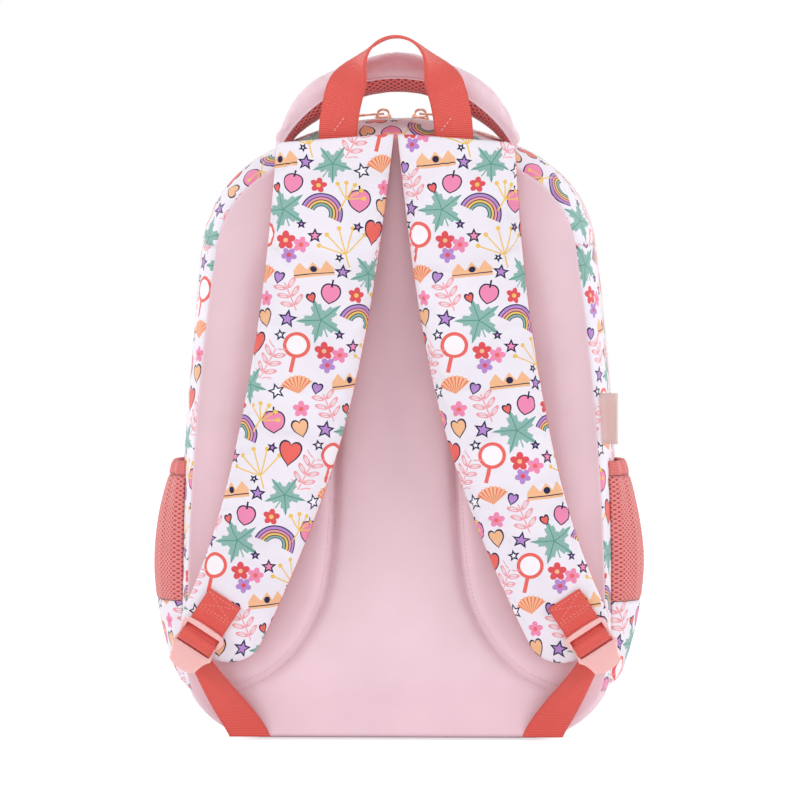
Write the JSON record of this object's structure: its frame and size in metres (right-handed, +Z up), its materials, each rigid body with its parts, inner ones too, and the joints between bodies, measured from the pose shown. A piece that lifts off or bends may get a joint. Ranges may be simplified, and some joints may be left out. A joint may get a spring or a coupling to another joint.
{
  "type": "school backpack",
  "caption": "School backpack in printed fabric with quilted back panel, padded shoulder straps, webbing grab loop, padded haul handle, mesh side pockets and zipped front pocket.",
  "frame": {"origin": "middle of the footprint, on the surface that the bag stands on", "axes": "+Z up the bag, +Y from the back panel towards the front pocket, +X towards the right as seen from the strap side"},
  "size_m": [0.334, 0.2028, 0.4754],
  "materials": {
    "printed_fabric": "woven polyester, white-lilac ground with an all-over motif print",
    "pink_fabric": "plain pink woven polyester, quilted on the back panel",
    "coral_webbing": "coral ribbed webbing and binding tape",
    "coral_mesh": "coral open knit mesh",
    "foam": "soft padding foam, hidden inside the covers",
    "lining": "plain thin lining",
    "zip_tape": "knitted zip tape with a moulded coil along one edge",
    "label_fabric": "smooth woven label, plain",
    "rose_metal": "polished rose-gold plated zinc",
    "buckle_plastic": "pale pink moulded acetal, slightly translucent",
    "base_board": "stiff sheet that flattens the base"
  },
  "bodies": {
    "bag_shell": {"back_panel_cover": "pink_fabric", "back_panel_foam": "foam", "back_panel_lining": "lining", "side_panel_right": "printed_fabric", "side_panel_left": "printed_fabric", "top_gusset": "printed_fabric", "base_panel": "pink_fabric", "base_front_band": "pink_fabric", "lower_front_panel": "printed_fabric", "base_board": "base_board", "main_zip_tape_rear": "zip_tape", "side_label": "label_fabric", "side_pocket_base_right": "printed_fabric", "side_pocket_mesh_right": "coral_mesh", "side_pocket_binding_right": "coral_webbing", "lower_webbing_right": "coral_webbing", "side_pocket_base_left": "printed_fabric", "side_pocket_mesh_left": "coral_mesh", "side_pocket_binding_left": "coral_webbing", "lower_webbing_left": "coral_webbing"},
    "front_section": {"main_zip_tape_front": "zip_tape", "front_gusset": "printed_fabric", "front_panel": "printed_fabric", "front_piping": "coral_webbing", "pocket_rim": "printed_fabric", "pocket_zip_tape_rear": "zip_tape"},
    "pocket_front": {"pocket_gusset": "printed_fabric", "pocket_zip_tape_front": "zip_tape", "pocket_face": "printed_fabric"},
    "grab_handle": {"grab_loop": "coral_webbing"},
    "haul_handle": {"haul_handle_cover": "pink_fabric", "haul_handle_mesh": "coral_mesh"},
    "zip_slider_pocket": {"pocket_slider": "rose_metal"},
    "zip_pull_pocket": {"pocket_pull": "rose_metal"},
    "shoulder_strap_right": {"strap_cover_right": "printed_fabric", "strap_foam_right": "foam", "strap_mesh_right": "coral_mesh", "strap_binding_right": "coral_webbing", "strap_tab_right": "coral_webbing"},
    "buckle_right": {"ladder_lock_right": "buckle_plastic"},
    "zip_slider_right": {"main_slider_right": "rose_metal"},
    "zip_pull_right": {"main_pull_right": "rose_metal"},
    "shoulder_strap_left": {"strap_cover_left": "printed_fabric", "strap_foam_left": "foam", "strap_mesh_left": "coral_mesh", "strap_binding_left": "coral_webbing", "strap_tab_left": "coral_webbing"},
    "buckle_left": {"ladder_lock_left": "buckle_plastic"},
    "zip_slider_left": {"main_slider_left": "rose_metal"},
    "zip_pull_left": {"main_pull_left": "rose_metal"}
  },
  "joints": [
    {"name": "front_opening", "type": "hinge", "parent": "bag_shell", "child": "front_section", "pos_m": [0, 0.0685, 0.0975], "axis": [-1, 0, 0], "range_deg": [0, 85]},
    {"name": "pocket_opening", "type": "hinge", "parent": "front_section", "child": "pocket_front", "pos_m": [0, 0.0821, 0.112], "axis": [-1, 0, 0], "range_deg": [0, 35]},
    {"name": "grab_loop_tilt", "type": "hinge", "parent": "bag_shell", "child": "grab_handle", "pos_m": [0, -0.0691, 0.404], "axis": [1, 0, 0], "range_deg": [-10, 60]},
    {"name": "haul_handle_tilt", "type": "hinge", "parent": "bag_shell", "child": "haul_handle", "pos_m": [0, -0.0419, 0.408], "axis": [-1, 0, 0], "range_deg": [0, 15]},
    {"name": "pocket_zip_travel", "type": "hinge", "parent": "front_section", "child": "zip_slider_pocket", "pos_m": [0, 0.0814, 0.15105], "axis": [0, -1, 0], "range_deg": [0, 40]},
    {"name": "pocket_pull_swing", "type": "hinge", "parent": "zip_slider_pocket", "child": "zip_pull_pocket", "pos_m": [0.05344, 0.0814, 0.29788], "axis": [0, -1, 0], "range_deg": [0, 110]},
    {"name": "strap_swing_right", "type": "hinge", "parent": "bag_shell", "child": "shoulder_strap_right", "pos_m": [0.041, -0.0709, 0.4015], "axis": [-1, 0, 0], "range_deg": [0, 22]},
    {"name": "buckle_swing_right", "type": "hinge", "parent": "shoulder_strap_right", "child": "buckle_right", "pos_m": [0.12685, -0.094, 0.07652], "axis": [-0.8373, 0.0227, -0.5463], "range_deg": [0, 20]},
    {"name": "zip_travel_right", "type": "hinge", "parent": "bag_shell", "child": "zip_slider_right", "pos_m": [0, 0.0318, 0.23303], "axis": [0, 1, 0], "range_deg": [0, 22]},
    {"name": "pull_swing_right", "type": "hinge", "parent": "zip_slider_right", "child": "zip_pull_right", "pos_m": [0.01285, 0.0318, 0.42287], "axis": [0, -1, 0], "range_deg": [0, 110]},
    {"name": "strap_swing_left", "type": "hinge", "parent": "bag_shell", "child": "shoulder_strap_left", "pos_m": [-0.041, -0.0709, 0.4015], "axis": [-1, 0, 0], "range_deg": [0, 22]},
    {"name": "buckle_swing_left", "type": "hinge", "parent": "shoulder_strap_left", "child": "buckle_left", "pos_m": [-0.12685, -0.094, 0.07652], "axis": [-0.8373, -0.0227, 0.5463], "range_deg": [0, 20]},
    {"name": "zip_travel_left", "type": "hinge", "parent": "bag_shell", "child": "zip_slider_left", "pos_m": [0, 0.0318, 0.23303], "axis": [0, -1, 0], "range_deg": [0, 22]},
    {"name": "pull_swing_left", "type": "hinge", "parent": "zip_slider_left", "child": "zip_pull_left", "pos_m": [-0.01285, 0.0318, 0.42287], "axis": [0, 1, 0], "range_deg": [0, 110]}
  ]
}
